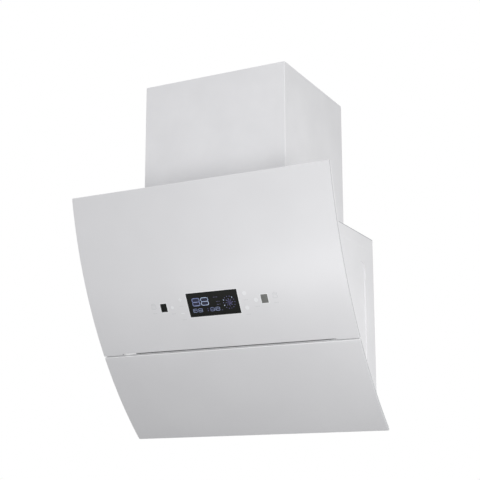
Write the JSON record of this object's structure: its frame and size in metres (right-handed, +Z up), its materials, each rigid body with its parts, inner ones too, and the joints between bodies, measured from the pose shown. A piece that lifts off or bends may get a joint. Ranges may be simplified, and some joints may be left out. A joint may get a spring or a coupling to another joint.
{
  "type": "curved glass range hood",
  "caption": "Wall-mounted side-draught range hood with a curved white glass front, swing-out lower flap, scroll blower, grease filter, duct collar and telescoping chimney cover.",
  "frame": {"origin": "centre of the four wall-screw holes, on the wall plane at the back of the housing", "axes": "+X to the viewer's right, +Y into the wall, +Z up"},
  "size_m": [0.6, 0.3915, 0.7537],
  "materials": {
    "white_steel": "white powder-coated sheet steel, satin",
    "tray_steel": "white painted steel tray, satin",
    "white_glass": "white back-painted tempered glass, polished",
    "dark_window": "dark tinted glass, polished",
    "lamp_glass": "frosted lamp lens",
    "zinc_steel": "zinc-coated sheet steel",
    "bright_steel": "bright turned steel",
    "wheel_aluminium": "plain aluminium",
    "filter_aluminium": "etched aluminium",
    "motor_case": "dark enamelled motor case",
    "black_plastic": "moulded black plastic",
    "white_plastic": "moulded white plastic",
    "circuit_board": "green circuit board",
    "rubber_mount": "soft black rubber",
    "lead_sheath": "black cable sheath"
  },
  "bodies": {
    "housing": {"back_panel": "white_steel", "left_side_panel": "white_steel", "right_side_panel": "white_steel", "top_panel": "white_steel", "bottom_panel": "white_steel", "front_panel": "white_steel", "upper_glass": "white_glass", "upper_tray": "tray_steel", "panel_rail_left": "zinc_steel", "panel_rail_right": "zinc_steel", "display_window": "dark_window", "sensor_windows": "dark_window", "touch_board": "circuit_board", "display_module": "black_plastic", "ir_sensors": "black_plastic", "control_cover": "white_plastic", "hinge_brackets": "zinc_steel", "hinge_pins": "bright_steel", "flap_motor": "black_plastic", "filter_frame": "filter_aluminium", "filter_mesh": "filter_aluminium", "chimney_front": "white_steel", "chimney_side_left": "white_steel", "chimney_side_right": "white_steel", "chimney_screws": "bright_steel", "duct_collar": "black_plastic", "volute_shell": "zinc_steel", "volute_front": "zinc_steel", "volute_back": "zinc_steel", "inlet_ring": "zinc_steel", "fan_motor": "motor_case", "blower_mounts": "rubber_mount", "blower_screws": "bright_steel", "control_box": "white_plastic", "control_box_lid": "white_plastic", "control_board": "circuit_board", "capacitor": "wheel_aluminium", "cable_gland": "black_plastic", "display_lead": "lead_sheath", "motor_lead": "lead_sheath", "lamp_housings": "bright_steel", "lamp_lenses": "lamp_glass", "cup_holder": "white_plastic", "drain_spout": "black_plastic"},
    "flap": {"flap_glass": "white_glass", "flap_tray": "tray_steel", "flap_lug_left": "zinc_steel", "flap_lug_right": "zinc_steel", "flap_sector": "white_plastic"},
    "drive_pinion": {"motor_pinion": "white_plastic"},
    "fan_wheel": {"impeller": "wheel_aluminium", "wheel_ring": "wheel_aluminium", "motor_shaft": "bright_steel", "hub_nut": "bright_steel"},
    "damper_left_body": {"damper_left": "black_plastic"},
    "damper_right_body": {"damper_right": "black_plastic"},
    "chimney_slide": {"chimney_inner": "white_steel"},
    "cup": {"oil_cup": "white_plastic"},
    "latch_left": {"filter_latch_left": "black_plastic"},
    "latch_right": {"filter_latch_right": "black_plastic"}
  },
  "joints": [
    {"name": "flap_hinge", "type": "hinge", "parent": "housing", "child": "flap", "pos_m": [0, -0.23286, -0.08007], "axis": [-1, 0, 0], "range_deg": [0, 60]},
    {"name": "motor_pinion_spin", "type": "hinge", "parent": "housing", "child": "drive_pinion", "pos_m": [0, -0.21328, -0.06619], "axis": [-1, 0, 0], "range_deg": [-60, 0]},
    {"name": "impeller_spin", "type": "hinge", "parent": "housing", "child": "fan_wheel", "pos_m": [-0.081, -0.089, 0.02], "axis": [0, 1, 0], "continuous": true},
    {"name": "damper_left_swing", "type": "hinge", "parent": "housing", "child": "damper_left_body", "pos_m": [-0.0035, -0.089, 0.207], "axis": [0, 1, 0], "range_deg": [0, 80]},
    {"name": "damper_right_swing", "type": "hinge", "parent": "housing", "child": "damper_right_body", "pos_m": [0.0035, -0.089, 0.207], "axis": [0, -1, 0], "range_deg": [0, 80]},
    {"name": "chimney_extend", "type": "slide", "parent": "housing", "child": "chimney_slide", "axis": [0, 0, 1], "range_m": [0, 0.25]},
    {"name": "oil_cup_pull", "type": "slide", "parent": "housing", "child": "cup", "axis": [0, 0, -1], "range_m": [0, 0.06]},
    {"name": "latch_left_press", "type": "slide", "parent": "housing", "child": "latch_left", "axis": [0, -0.6505, 0.7595], "range_m": [0, 0.006], "stiffness_N_per_m": 300, "springref_m": -0.004},
    {"name": "latch_right_press", "type": "slide", "parent": "housing", "child": "latch_right", "axis": [0, -0.6505, 0.7595], "range_m": [0, 0.006], "stiffness_N_per_m": 300, "springref_m": -0.004}
  ],
  "couplings": [
    {"joint": "motor_pinion_spin", "follows": "flap_hinge", "ratio": -1}
  ]
}
